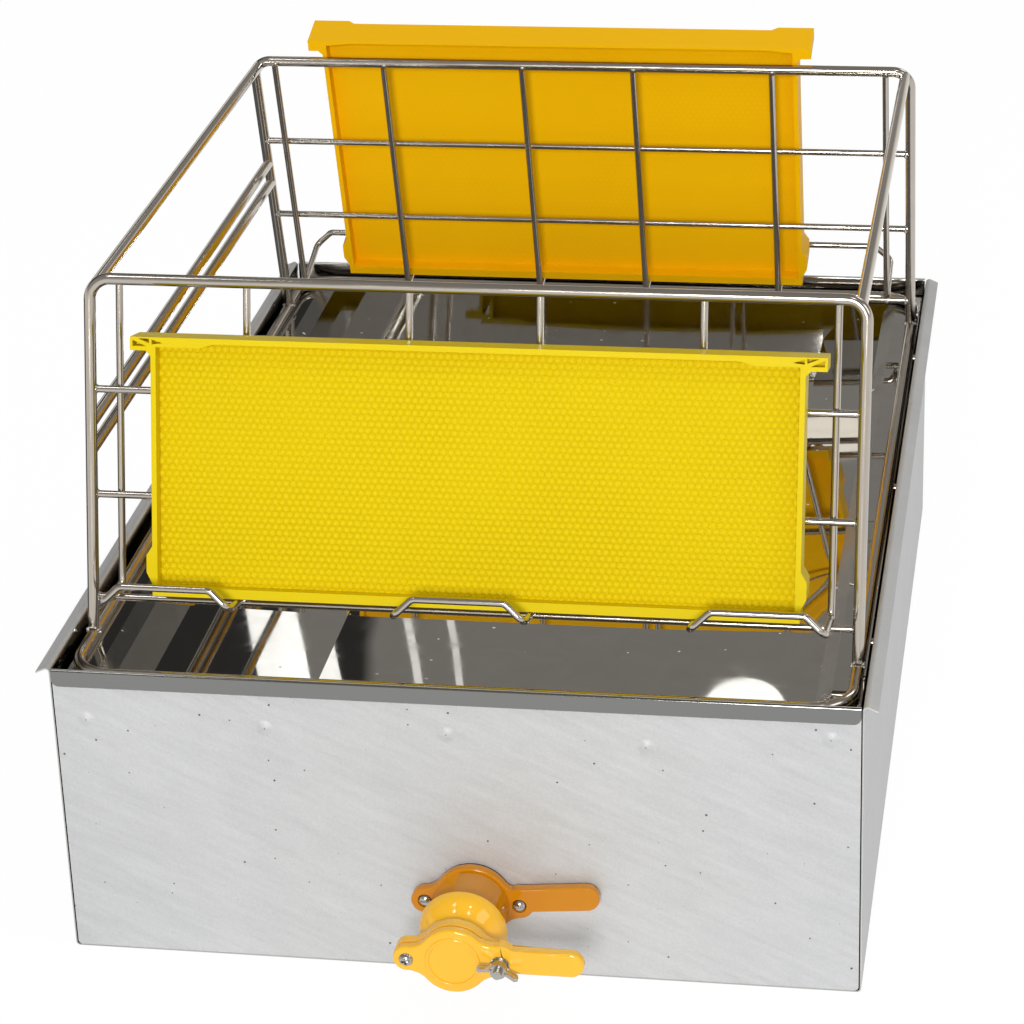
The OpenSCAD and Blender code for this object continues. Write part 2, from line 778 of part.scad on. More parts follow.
module clamp_bolt() color("silver") at_gate() translate([pivot_off, 0, seat_at - nut_h - weld]) {
    cylinder(r = bolt_d[1] * bolt_shares[0], h = nut_h, $fn = 6);
    cylinder(d = bolt_d[1], h = nut_h + face_at - seat_at + bolt_out);
}

module clamp_washer() color("silver") at_gate() translate([pivot_off, 0, washer_at]) difference() {
    cylinder(r = bolt_d[1] * bolt_shares[1], h = sheet_t);
    translate([0, 0, -over]) cylinder(d = bolt_d[1] + 2 * shaft_play, h = sheet_t + 2 * over);
}

module wing_nut() color("silver") at_gate() translate([pivot_off, 0, nut_at]) rotate([0, 0, wing_turn])
    difference() {
        union() {
            cylinder(r = bolt_d[1] * bolt_shares[2], h = wing_hub);
            for (m = [0, 1]) mirror([m, 0, 0]) translate([0, wing_t / 2, 0]) rotate([90, 0, 0])
                linear_extrude(wing_t)
                    polygon([for (p = wing_shares) [p[0] * wing_reach, p[1] * wing_hub]]);
        }
        translate([0, 0, -over]) cylinder(d = bolt_d[1] + 2 * shaft_play, h = 2 * (wing_hub + over));
    }

tank_shell();
front_wall();
rear_wall();
tray_studs();
strainer_tray();
strainer_sheet();
base_ring();
front_hoop();
rear_hoop();
left_top_rail();
right_top_rail();
upper_side_rail();
lower_side_rail();
front_left_hook();
front_middle_hook();
front_right_hook();
rear_left_hook();
rear_middle_hook();
rear_right_hook();
front_lower_cross();
front_middle_cross();
front_upper_cross();
rear_lower_cross();
rear_middle_cross();
rear_upper_cross();
front_comb_frame();
rear_comb_frame();
gate_gasket();
gate_flange();
flange_screws();
flange_nuts();
gate_body();
seat_seal();
gate_shutter();
pivot_screw();
pivot_nut();
clamp_bolt();
clamp_washer();
wing_nut();
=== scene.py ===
import json
import math
import random

import bmesh
import bpy
from mathutils import Matrix, Vector


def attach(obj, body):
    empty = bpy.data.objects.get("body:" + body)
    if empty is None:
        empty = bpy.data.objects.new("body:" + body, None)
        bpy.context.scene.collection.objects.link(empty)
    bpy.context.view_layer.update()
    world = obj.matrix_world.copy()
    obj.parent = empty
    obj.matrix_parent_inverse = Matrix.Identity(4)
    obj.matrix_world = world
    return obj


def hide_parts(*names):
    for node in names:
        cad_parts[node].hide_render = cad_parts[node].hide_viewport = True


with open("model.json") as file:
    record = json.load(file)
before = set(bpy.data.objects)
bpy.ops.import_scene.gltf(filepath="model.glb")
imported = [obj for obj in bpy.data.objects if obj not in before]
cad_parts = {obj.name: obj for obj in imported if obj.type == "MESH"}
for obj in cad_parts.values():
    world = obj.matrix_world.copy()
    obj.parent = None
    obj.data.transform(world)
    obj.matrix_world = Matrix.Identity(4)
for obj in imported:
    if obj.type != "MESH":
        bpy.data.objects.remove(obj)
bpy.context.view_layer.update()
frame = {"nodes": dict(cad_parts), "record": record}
nodes = frame["nodes"]
scene = bpy.context.scene
mm = 0.001
print("frame loaded:", len(nodes), "nodes")

# small helpers


def tone(code):
    # sRGB hex to the linear colour that the shader sockets take
    parts = [int(code[i:i + 2], 16) / 255 for i in (1, 3, 5)]
    return [p / 12.92 if p <= 0.04045 else ((p + 0.055) / 1.055) ** 2.4 for p in parts] + [1.0]


def addNode(tree, kind, inputs=None, **settings):
    node = tree.nodes.new("ShaderNode" + kind)
    for key, value in settings.items():
        setattr(node, key, value)
    for key, value in (inputs or {}).items():
        if isinstance(value, bpy.types.NodeSocket):
            tree.links.new(value, node.inputs[key])
        else:
            node.inputs[key].default_value = value
    return node


def startMaterial(name):
    material = bpy.data.materials.new(name)
    material.use_nodes = True
    tree = material.node_tree
    place = addNode(tree, "TexCoord").outputs["Object"]
    return material, tree, tree.nodes["Principled BSDF"], place


def perMetre(size):
    # pattern scale for a feature of this size in mm
    return 1000.0 / size


def putOn(nodeName, material):
    slots = nodes[nodeName].data.materials
    slots.clear()
    slots.append(material)


def vertsOf(geom):
    return [v for v in geom if isinstance(v, bmesh.types.BMVert)]


def everything(bm):
    return bm.verts[:] + bm.edges[:] + bm.faces[:]


def newPiece(name, bm, material, body, angle, turnFaces=True):
    # edges sharper than angle, in degrees, stay sharp; turnFaces first points all faces outwards
    if turnFaces:
        bmesh.ops.recalc_face_normals(bm, faces=bm.faces)
    mesh = bpy.data.meshes.new(name)
    bm.to_mesh(mesh)
    bm.free()
    mesh.materials.append(material)
    for face in mesh.polygons:
        face.use_smooth = True
    mesh.set_sharp_from_angle(angle=math.radians(angle))
    piece = bpy.data.objects.new(name, mesh)
    scene.collection.objects.link(piece)
    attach(piece, body)
    return piece


# materials

sheetLook = {
    "satin": "#CBCCCC", "satinDark": "#BBBCBC", "polished": "#B9B7B3", "hem": "#858583", "pit": "#5F5D5A",
    "lineSize": 4.0, "lineTurn": 24.0, "lineStretch": 9.0, "grainSize": 1.4, "blotchSize": 70.0,
    "blotchShare": 0.4, "mottleFrom": 0.85, "mottleTo": 1.55, "pitSpacing": 24.0, "pitSize": 0.85,
    "pitFrom": 0.45, "lineFrom": 0.3, "lineTo": 0.7, "smoothest": 0.44, "roughest": 0.56,
    "mirrorRough": 0.09, "satinMetal": 0.35, "bump": 0.14, "bumpHigh": 0.4}
# mirror faces, in mm from the middle: nearer than inside, or beyond hem, which the long sides don't reach
sideFaces = {"axis": "X", "across": "Y", "inside": 269.5, "hem": 300.0}
endFaces = {"axis": "Y", "across": "X", "inside": 377.0, "hem": 378.6}


def makeTankSheet(name, faces):
    # stainless sheet, cold rolled to a satin 2B face outside: pale, grainy, faint streaks, a few dark pits;
    # inside and hem keep the mirror of the polishing film; the hem's mirror is coloured darker, as painted
    # shade
    material, tree, shader, place = startMaterial(name)
    look = sheetLook
    split = addNode(tree, "SeparateXYZ", {"Vector": place})
    reach = addNode(tree, "Math", {0: split.outputs[faces["axis"]]}, operation="ABSOLUTE").outputs[0]
    inside = addNode(tree, "Math", {0: reach, 1: faces["inside"] * mm}, operation="LESS_THAN").outputs[0]
    hem = addNode(tree, "Math", {0: reach, 1: faces["hem"] * mm}, operation="GREATER_THAN").outputs[0]
    shine = addNode(tree, "Math", {0: inside, 1: hem}, operation="MAXIMUM").outputs[0]
    turned = addNode(tree, "Mapping", {"Vector": place,
                                       "Rotation": (0.0, math.radians(look["lineTurn"]), 0.0),
                                       "Scale": (look["lineStretch"], look["lineStretch"], 1.0)},
                     vector_type="TEXTURE").outputs[0]
    lines = addNode(tree, "TexNoise", {"Vector": turned, "Scale": perMetre(look["lineSize"]),
                                       "Detail": 4.0, "Roughness": 0.6}).outputs["Fac"]
    grain = addNode(tree, "TexNoise", {"Vector": place, "Scale": perMetre(look["grainSize"]),
                                       "Detail": 3.0, "Roughness": 0.7}).outputs["Fac"]
    blotch = addNode(tree, "TexNoise", {"Vector": place, "Scale": perMetre(look["blotchSize"]),
                                        "Detail": 4.0, "Roughness": 0.55}).outputs["Fac"]
    marks = addNode(tree, "Math", {0: lines, 1: grain}, operation="ADD").outputs[0]
    mottle = addNode(tree, "Math", {0: blotch, 1: look["blotchShare"], 2: marks},
                     operation="MULTIPLY_ADD").outputs[0]
    mottle = addNode(tree, "MapRange", {0: mottle, 1: look["mottleFrom"], 2: look["mottleTo"]}).outputs[0]
    satin = addNode(tree, "Mix", {0: mottle, 6: tone(look["satinDark"]), 7: tone(look["satin"])},
                    data_type="RGBA").outputs[2]
    face = addNode(tree, "CombineXYZ", {"X": split.outputs[faces["across"]],
                                        "Y": split.outputs["Z"]}).outputs[0]
    cells = addNode(tree, "TexVoronoi", {"Vector": face, "Scale": perMetre(look["pitSpacing"])},
                    voronoi_dimensions="2D")
    # a pit's size is drawn from its cell's colour, and nearly half the cells have none
    pick = addNode(tree, "SeparateColor", {0: cells.outputs["Color"]}).outputs[0]
    size = addNode(tree, "MapRange", {0: pick, 1: look["pitFrom"],
                                      4: look["pitSize"] / look["pitSpacing"]}).outputs[0]
    pit = addNode(tree, "Math", {0: cells.outputs["Distance"], 1: size}, operation="LESS_THAN").outputs[0]
    satin = addNode(tree, "Mix", {0: pit, 6: satin, 7: tone(look["pit"])}, data_type="RGBA").outputs[2]
    colour = addNode(tree, "Mix", {0: inside, 6: satin, 7: tone(look["polished"])},
                     data_type="RGBA").outputs[2]
    # painted shade: the hem is the same polished sheet as the inside, coloured darker
    colour = addNode(tree, "Mix", {0: hem, 6: colour, 7: tone(look["hem"])}, data_type="RGBA").outputs[2]
    tree.links.new(colour, shader.inputs["Base Color"])
    rough = addNode(tree, "MapRange", {0: lines, 1: look["lineFrom"], 2: look["lineTo"],
                                       3: look["smoothest"], 4: look["roughest"]}).outputs[0]
    rough = addNode(tree, "Mix", {0: shine, 2: rough, 3: look["mirrorRough"]}).outputs[0]
    tree.links.new(rough, shader.inputs["Roughness"])
    metal = addNode(tree, "MapRange", {0: shine, 3: look["satinMetal"]}).outputs[0]
    tree.links.new(metal, shader.inputs["Metallic"])
    matte = addNode(tree, "Math", {0: 1.0, 1: shine}, operation="SUBTRACT").outputs[0]
    high = addNode(tree, "Math", {0: marks, 1: matte}, operation="MULTIPLY").outputs[0]
    bump = addNode(tree, "Bump", {"Height": high, "Strength": look["bump"],
                                  "Distance": look["bumpHigh"] * mm}).outputs[0]
    tree.links.new(bump, shader.inputs["Normal"])
    return material


polishLook = {
    "clean": "#BDBBB7", "film": "#ADABA6", "smearSize": 35.0, "smearFrom": 0.45, "smearTo": 0.8,
    "smoothest": 0.02, "roughest": 0.06, "brushed": 0.2,
    "drop": "#EFEEEA", "dropSpacing": 34.0, "dropSize": 1.5, "dropFrom": 0.65,
    "waveSize": 120.0, "wave": 0.25, "waveHigh": 0.6, "sagFrom": -185.0, "sag": 0.07,
    "dishFrom": 185.0, "dishBack": -60.0, "dish": 0.12,
    "foldTilt": 0.51, "foldNear": 0.05, "foldFrom": 221.5, "fold": 0.69}


def makePolishedTray():
    # stainless sheet, mirror polished: clear reflections that waver with the sheet, smears, and drops painted
    # as white highlight spots
    material, tree, shader, place = startMaterial("polishedTray")
    look = polishLook
    smear = addNode(tree, "TexNoise", {"Vector": place, "Scale": perMetre(look["smearSize"]),
                                       "Detail": 5.0, "Roughness": 0.6, "Distortion": 1.2}).outputs["Fac"]
    colour = addNode(tree, "Mix", {0: smear, 6: tone(look["clean"]), 7: tone(look["film"])},
                     data_type="RGBA").outputs[2]
    # drops lie in about a third of the cells; each is a painted highlight, a white spot that is not metal
    cells = addNode(tree, "TexVoronoi", {"Vector": place, "Scale": perMetre(look["dropSpacing"])},
                    voronoi_dimensions="2D")
    pick = addNode(tree, "SeparateColor", {0: cells.outputs["Color"]}).outputs[0]
    size = addNode(tree, "MapRange", {0: pick, 1: look["dropFrom"],
                                      4: look["dropSize"] / look["dropSpacing"]}).outputs[0]
    drop = addNode(tree, "Math", {0: cells.outputs["Distance"], 1: size}, operation="LESS_THAN").outputs[0]
    colour = addNode(tree, "Mix", {0: drop, 6: colour, 7: tone(look["drop"])}, data_type="RGBA").outputs[2]
    tree.links.new(colour, shader.inputs["Base Color"])
    metal = addNode(tree, "Math", {0: 1.0, 1: drop}, operation="SUBTRACT").outputs[0]
    tree.links.new(metal, shader.inputs["Metallic"])
    # the folded slopes along both sides keep a brushed face
    facing = addNode(tree, "TexCoord").outputs["Normal"]
    tilt = addNode(tree, "SeparateXYZ", {"Vector": facing}).outputs["X"]
    tilt = addNode(tree, "Math", {0: tilt}, operation="ABSOLUTE").outputs[0]
    fold = addNode(tree, "Math", {0: tilt, 1: look["foldTilt"], 2: look["foldNear"]},
                   operation="COMPARE").outputs[0]
    rough = addNode(tree, "MapRange", {0: smear, 1: look["smearFrom"], 2: look["smearTo"],
                                       3: look["smoothest"], 4: look["roughest"]}).outputs[0]
    rough = addNode(tree, "Mix", {0: fold, 2: rough, 3: look["brushed"]}).outputs[0]
    tree.links.new(rough, shader.inputs["Roughness"])
    # the sheet's slight unevenness is shading alone: long waves, then a floor that sags towards its front end
    wave = addNode(tree, "TexNoise", {"Vector": place, "Scale": perMetre(look["waveSize"]), "Detail": 1.0})
    bump = addNode(tree, "Bump", {"Height": wave.outputs["Fac"], "Strength": look["wave"],
                                  "Distance": look["waveHigh"] * mm}).outputs[0]
    split = addNode(tree, "SeparateXYZ", {"Vector": place})
    past = addNode(tree, "Math", {0: split.outputs["Y"], 1: look["sagFrom"] * mm},
                   operation="SUBTRACT").outputs[0]
    past = addNode(tree, "Math", {0: past, 1: 0.0}, operation="MINIMUM").outputs[0]
    bump = addNode(tree, "Bump", {"Height": past, "Strength": 1.0, "Distance": look["sag"],
                                  "Normal": bump}).outputs[0]
    # and rises towards its right edge
    past = addNode(tree, "Math", {0: split.outputs["X"], 1: look["dishFrom"] * mm},
                   operation="SUBTRACT").outputs[0]
    past = addNode(tree, "Math", {0: past, 1: 0.0}, operation="MAXIMUM").outputs[0]
    behind = addNode(tree, "MapRange", {0: split.outputs["Y"], 1: look["sagFrom"] * mm,
                                        2: look["dishBack"] * mm},
                     interpolation_type="SMOOTHSTEP").outputs[0]
    past = addNode(tree, "Math", {0: past, 1: behind}, operation="MULTIPLY").outputs[0]
    bump = addNode(tree, "Bump", {"Height": past, "Strength": 1.0, "Distance": look["dish"],
                                  "Normal": bump}).outputs[0]
    # and slopes that mirror as if they were folded less
    out = addNode(tree, "Math", {0: split.outputs["X"]}, operation="ABSOLUTE").outputs[0]
    out = addNode(tree, "Math", {0: look["foldFrom"] * mm, 1: out}, operation="SUBTRACT").outputs[0]
    out = addNode(tree, "Math", {0: out, 1: fold}, operation="MULTIPLY").outputs[0]
    bump = addNode(tree, "Bump", {"Height": out, "Strength": 1.0, "Distance": look["fold"],
                                  "Normal": bump}).outputs[0]
    tree.links.new(bump, shader.inputs["Normal"])
    return material


rodLook = {"pale": "#C2BCB4", "deep": "#B0AAA1", "rough": 0.10}
screwLook = {"pale": "#BDBAB5", "deep": "#A29E97", "rough": 0.20}
weldLook = {"pale": "#D6D4D0", "deep": "#A8A49D", "rough": 0.24}
drawnFace = {"driftSize": 30.0, "driftFrom": 0.3, "driftTo": 0.7, "roughMore": 0.08,
             "waveSize": 14.0, "wave": 0.05, "waveHigh": 0.5}


def makeBrightSteel(name, look):
    # stainless steel, bright drawn or turned: near mirror, faint colour changes along its length
    material, tree, shader, place = startMaterial(name)
    face = drawnFace
    drift = addNode(tree, "TexNoise", {"Vector": place, "Scale": perMetre(face["driftSize"]),
                                       "Detail": 3.0}).outputs["Fac"]
    colour = addNode(tree, "Mix", {0: drift, 6: tone(look["pale"]), 7: tone(look["deep"])},
                     data_type="RGBA").outputs[2]
    tree.links.new(colour, shader.inputs["Base Color"])
    rough = addNode(tree, "MapRange", {0: drift, 1: face["driftFrom"], 2: face["driftTo"],
                                       3: look["rough"], 4: look["rough"] + face["roughMore"]}).outputs[0]
    tree.links.new(rough, shader.inputs["Roughness"])
    shader.inputs["Metallic"].default_value = 1.0
    wave = addNode(tree, "TexNoise", {"Vector": place, "Scale": perMetre(face["waveSize"]), "Detail": 1.0})
    bump = addNode(tree, "Bump", {"Height": wave.outputs["Fac"], "Strength": face["wave"],
                                  "Distance": face["waveHigh"] * mm}).outputs[0]
    tree.links.new(bump, shader.inputs["Normal"])
    return material


# the third colour of each comb is painted shade on the cell walls
frontLook = {"pale": "#E1C805", "deep": "#DCC104", "rim": "#D7BC04"}
rearLook = {"pale": "#FBC004", "deep": "#F6B902", "rim": "#F6B902"}
mouldFace = {"driftSize": 140.0, "patchSize": 90.0, "patchFrom": 0.36, "patchTo": 0.64, "patchLeast": 0.15,
             "skinSize": 1.2, "skinFrom": 0.3, "skinTo": 0.7, "smoothest": 0.35, "roughest": 0.48,
             "bump": 0.08, "bumpHigh": 0.3, "ior": 1.49, "sheen": 0.1}


def makeCombPlastic(name, look):
    # polypropylene, injection moulded: satin, slightly waxy, colour uneven; the cell walls carry painted
    # shade, stronger in some patches
    material, tree, shader, place = startMaterial(name)
    face = mouldFace
    drift = addNode(tree, "TexNoise", {"Vector": place, "Scale": perMetre(face["driftSize"]),
                                       "Detail": 3.0}).outputs["Fac"]
    colour = addNode(tree, "Mix", {0: drift, 6: tone(look["pale"]), 7: tone(look["deep"])},
                     data_type="RGBA").outputs[2]
    # painted shade: the marked cell walls are darker, more in some patches than in others
    wall = addNode(tree, "Attribute", attribute_name="rim").outputs["Fac"]
    patch = addNode(tree, "TexNoise", {"Vector": place, "Scale": perMetre(face["patchSize"]),
                                       "Detail": 2.0}).outputs["Fac"]
    patch = addNode(tree, "MapRange", {0: patch, 1: face["patchFrom"], 2: face["patchTo"],
                                       3: face["patchLeast"]}).outputs[0]
    wall = addNode(tree, "Math", {0: wall, 1: patch}, operation="MULTIPLY").outputs[0]
    colour = addNode(tree, "Mix", {0: wall, 6: colour, 7: tone(look["rim"])}, data_type="RGBA").outputs[2]
    tree.links.new(colour, shader.inputs["Base Color"])
    skin = addNode(tree, "TexNoise", {"Vector": place, "Scale": perMetre(face["skinSize"]),
                                      "Detail": 2.0}).outputs["Fac"]
    rough = addNode(tree, "MapRange", {0: skin, 1: face["skinFrom"], 2: face["skinTo"],
                                       3: face["smoothest"], 4: face["roughest"]}).outputs[0]
    tree.links.new(rough, shader.inputs["Roughness"])
    bump = addNode(tree, "Bump", {"Height": skin, "Strength": face["bump"],
                                  "Distance": face["bumpHigh"] * mm}).outputs[0]
    tree.links.new(bump, shader.inputs["Normal"])
    shader.inputs["IOR"].default_value = face["ior"]
    shader.inputs["Specular IOR Level"].default_value = face["sheen"]
    return material


gateLook = {"pale": "#F8BE2C", "deep": "#F4B522", "sheen": 0.5}
# the flange's own deeper orange, darkened further as painted shade of its place behind the body and shutter
flangeLook = {"pale": "#CB8506", "deep": "#C37B04", "sheen": 0.3}
glossFace = {"driftSize": 40.0, "scuffSize": 6.0, "scuffFrom": 0.4, "scuffTo": 0.8, "smoothest": 0.06,
             "roughest": 0.14, "ripple": 0.15, "rippleHigh": 1.0, "ior": 1.53}


def makeGatePlastic(name, look):
    # ABS, injection moulded in a polished tool: deep gloss with a faint ripple
    material, tree, shader, place = startMaterial(name)
    face = glossFace
    drift = addNode(tree, "TexNoise", {"Vector": place, "Scale": perMetre(face["driftSize"]),
                                       "Detail": 2.0}).outputs["Fac"]
    colour = addNode(tree, "Mix", {0: drift, 6: tone(look["pale"]), 7: tone(look["deep"])},
                     data_type="RGBA").outputs[2]
    tree.links.new(colour, shader.inputs["Base Color"])
    scuff = addNode(tree, "TexNoise", {"Vector": place, "Scale": perMetre(face["scuffSize"]),
                                       "Detail": 4.0}).outputs["Fac"]
    rough = addNode(tree, "MapRange", {0: scuff, 1: face["scuffFrom"], 2: face["scuffTo"],
                                       3: face["smoothest"], 4: face["roughest"]}).outputs[0]
    tree.links.new(rough, shader.inputs["Roughness"])
    bump = addNode(tree, "Bump", {"Height": drift, "Strength": face["ripple"],
                                  "Distance": face["rippleHigh"] * mm}).outputs[0]
    tree.links.new(bump, shader.inputs["Normal"])
    shader.inputs["IOR"].default_value = face["ior"]
    shader.inputs["Specular IOR Level"].default_value = look["sheen"]
    return material


sealLook = {"black": "#1A1A19", "dust": "#2C2B2A", "dustSize": 3.0, "rough": 0.7}


def makeSealRubber():
    # nitrile rubber, moulded: black, dull
    material, tree, shader, place = startMaterial("sealRubber")
    dust = addNode(tree, "TexNoise", {"Vector": place, "Scale": perMetre(sealLook["dustSize"]),
                                      "Detail": 3.0}).outputs["Fac"]
    colour = addNode(tree, "Mix", {0: dust, 6: tone(sealLook["black"]), 7: tone(sealLook["dust"])},
                     data_type="RGBA").outputs[2]
    tree.links.new(colour, shader.inputs["Base Color"])
    shader.inputs["Roughness"].default_value = sealLook["rough"]
    return material


sideSheet = makeTankSheet("satinSideSheet", sideFaces)
endSheet = makeTankSheet("satinEndSheet", endFaces)
trayPolish = makePolishedTray()
rodBright = makeBrightSteel("brightRod", rodLook)
screwBright = makeBrightSteel("turnedScrew", screwLook)
weldSilver = makeBrightSteel("weldBead", weldLook)
frontYellow = makeCombPlastic("frontCombPlastic", frontLook)
rearYellow = makeCombPlastic("rearCombPlastic", rearLook)
gateGold = makeGatePlastic("gatePlastic", gateLook)
# painted shade: the flange's copy of the gate plastic is darker than the gate's own
flangeShadedAmber = makeGatePlastic("flangeShadedPlastic", flangeLook)
sealBlack = makeSealRubber()

# a node takes its slot's finish, unless it has one of its own
slotFinish = {"tank_steel": sideSheet, "tray_steel": trayPolish, "rod_steel": rodBright,
              "screw_steel": screwBright, "front_comb_plastic": frontYellow,
              "rear_comb_plastic": rearYellow, "gate_plastic": gateGold, "seal_rubber": sealBlack}
ownFinish = {"front_wall": endSheet, "rear_wall": endSheet, "tray_studs": rodBright,
             "gate_flange": flangeShadedAmber}
for subpart in frame["record"]["subparts"]:
    putOn(subpart["node"], ownFinish.get(subpart["node"], slotFinish[subpart["material_slot"]]))
print("materials set")

# places that repeat from the solids, in mm; on the leaning hoops, S runs up the slope and N through it

rodWork = {"footY": 302.5, "ringZ": 204.3, "lean": 15.0, "ringX": 260.5, "hoopH": 243.0, "upN": 6.55,
           "crossN": 1.5, "crossS": (25.0, 96.0, 168.0),
           "hookX": (-197.72, 1.042, 197.72), "hookHalf": 44.025}


def grillePlace(side):
    # frame of the front hoop's plane, or of the rear one's, its mirror image
    turn = Matrix.Rotation(math.radians(-rodWork["lean"]), 4, "X")
    place = Matrix.Translation((0, -rodWork["footY"] * mm, rodWork["ringZ"] * mm)) @ turn
    return Matrix.Scale(-1, 4, (0, 1, 0)) @ place if side else place


# soft edges: copies of moulded pieces with their sharp edges rounded over

softEdges = {"merge": 0.002, "flat": 0.6, "sharp": 32.0}  # mm, degrees, degrees


def softCopy(nodeName, edge, body, drop=None, share=None):
    # edge is the round's width in mm and its segments; drop picks faces that another piece stands for;
    # share gives how much of the width an edge gets, from its middle in mm
    width, segments = edge
    source = nodes[nodeName].data
    bm = bmesh.new()
    bm.from_mesh(source)
    bmesh.ops.remove_doubles(bm, verts=bm.verts, dist=softEdges["merge"] * mm)
    bmesh.ops.dissolve_limit(bm, angle_limit=math.radians(softEdges["flat"]), verts=bm.verts, edges=bm.edges)
    if drop:
        bmesh.ops.delete(bm, geom=[f for f in bm.faces if drop(f)], context="FACES_ONLY")
    weight = bm.edges.layers.float.new("bevel_weight_edge")
    for line in bm.edges:
        if line.is_manifold and line.calc_face_angle() > math.radians(softEdges["sharp"]):
            middle = (line.verts[0].co + line.verts[1].co) / 2 / mm
            line[weight] = share(middle) if share else 1.0
    piece = newPiece("soft_" + nodeName, bm, source.materials[0], body, softEdges["sharp"],
                     turnFaces=False)
    bevel = piece.modifiers.new("roundedEdges", "BEVEL")
    bevel.limit_method = "WEIGHT"
    bevel.width = width * mm
    bevel.segments = segments
    bevel.profile = 0.5
    bevel.harden_normals = True
    bevel.use_clamp_overlap = share is None
    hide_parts(nodeName)


gate = {"x": 11.0, "z": 57.0, "screwOff": 31.5, "screwReach": 7.0, "bodyEdge": (0.9, 3),
        "flangeEdge": (1.2, 4), "socketReach": 26.2, "leverFoot": (44.0, 66.0), "leverReach": 8.0,
        "shutterEdge": (2.2, 4), "ringReach": 20.0, "ringShare": 0.2,
        "handleFoot": (46.0, 68.5), "handleReach": 6.0}


def isNear(spot, x, z, reach):
    return math.hypot(spot.x - x, spot.z - z) < reach


def besideScrews(spot):
    places = (gate["x"] - gate["screwOff"], gate["x"] + gate["screwOff"])
    return any(isNear(spot, x, gate["z"], gate["screwReach"]) for x in places)


def shutterShare(spot):
    # full round on the outline, a finer one on the ring, none in the screw holes and at the handle's foot
    if isNear(spot, gate["x"], gate["z"], gate["ringReach"]):
        return gate["ringShare"]
    atFoot = isNear(spot, *gate["handleFoot"], gate["handleReach"])
    return 0.0 if atFoot or besideScrews(spot) else 1.0


def flangeShare(spot):
    # none in the body's socket, in the screw holes and at the lever's foot
    inSocket = isNear(spot, gate["x"], gate["z"], gate["socketReach"])
    atFoot = isNear(spot, *gate["leverFoot"], gate["leverReach"])
    return 0.0 if inSocket or atFoot or besideScrews(spot) else 1.0


bead = {"face": -458.8, "reach": 16.9, "thick": 1.15, "sides": 10, "turns": 56}


def makeShutterBead():
    # half-sunk bead over the ring on the shutter's face
    bm = bmesh.new()
    upright = Matrix.Rotation(math.radians(90), 4, "X")
    bmesh.ops.create_circle(bm, segments=bead["sides"], radius=bead["thick"],
                            matrix=Matrix.Translation((bead["reach"], 0, 0)) @ upright)
    bmesh.ops.spin(bm, geom=bm.verts[:] + bm.edges[:], cent=(0, 0, 0), axis=(0, 0, 1), angle=math.tau,
                   steps=bead["turns"], use_merge=True)
    place = Matrix.Translation((gate["x"], bead["face"], gate["z"])) @ upright
    bmesh.ops.transform(bm, matrix=Matrix.Scale(mm, 4) @ place, verts=bm.verts)
    newPiece("shutterBead", bm, gateGold, "shutter", angle=60)


pivotHead = {"x": -20.0, "z": 57.0, "base": -459.1, "clear": 0.05, "shankEdge": (0.2, 2), "turn": 9.0,
             "reach": 4.75, "high": 2.97, "turns": 32, "rings": 24,
             "armHalf": 0.7, "armReach": 2.9, "deep": 1.5}


def makePivotHead():
    # domed screw head with a cross recess, on the shank that is left of the solid
    head = pivotHead
    ball = (head["reach"] ** 2 + head["high"] ** 2) / (2 * head["high"])
    sunk = ball - head["high"]
    bm = bmesh.new()
    bmesh.ops.create_uvsphere(bm, u_segments=head["turns"], v_segments=head["rings"], radius=ball)
    cuts = [((0, 0, -1), -sunk, True)]
    for reach in (head["armHalf"], head["armReach"]):
        for way in ((1, 0, 0), (-1, 0, 0), (0, 1, 0), (0, -1, 0)):
            cuts.append((way, reach, False))
    for way, reach, clear in cuts:
        bmesh.ops.bisect_plane(bm, geom=everything(bm), plane_co=Vector(way) * reach, plane_no=way,
                               clear_outer=clear)
    cross = []
    for face in bm.faces:
        middle = face.calc_center_median()
        near, far = sorted((abs(middle.x), abs(middle.y)))
        if near < head["armHalf"] and far < head["armReach"]:
            cross.append(face)
    pressed = bmesh.ops.extrude_face_region(bm, geom=cross)["geom"]
    bmesh.ops.delete(bm, geom=cross, context="FACES")
    bmesh.ops.translate(bm, verts=vertsOf(pressed), vec=(0, 0, -head["deep"]))
    place = Matrix.Translation((head["x"], head["base"] + sunk, head["z"]))
    place = place @ Matrix.Rotation(math.radians(90), 4, "X")
    place = place @ Matrix.Rotation(math.radians(head["turn"]), 4, "Z")
    bmesh.ops.transform(bm, matrix=Matrix.Scale(mm, 4) @ place, verts=bm.verts)
    newPiece("pivotHead", bm, screwBright, "tank", angle=30)


def isHeadFace(face):
    return face.calc_center_median().y < (pivotHead["base"] - pivotHead["clear"]) * mm


softCopy("pivot_screw", pivotHead["shankEdge"], "tank", drop=isHeadFace)
makePivotHead()
softCopy("gate_flange", gate["flangeEdge"], "tank", share=flangeShare)
softCopy("gate_body", gate["bodyEdge"], "tank")
softCopy("gate_shutter", gate["shutterEdge"], "shutter", share=shutterShare)
makeShutterBead()
print("gate pieces rounded")

# the two comb frames: moulded bars with pressed cells on both faces

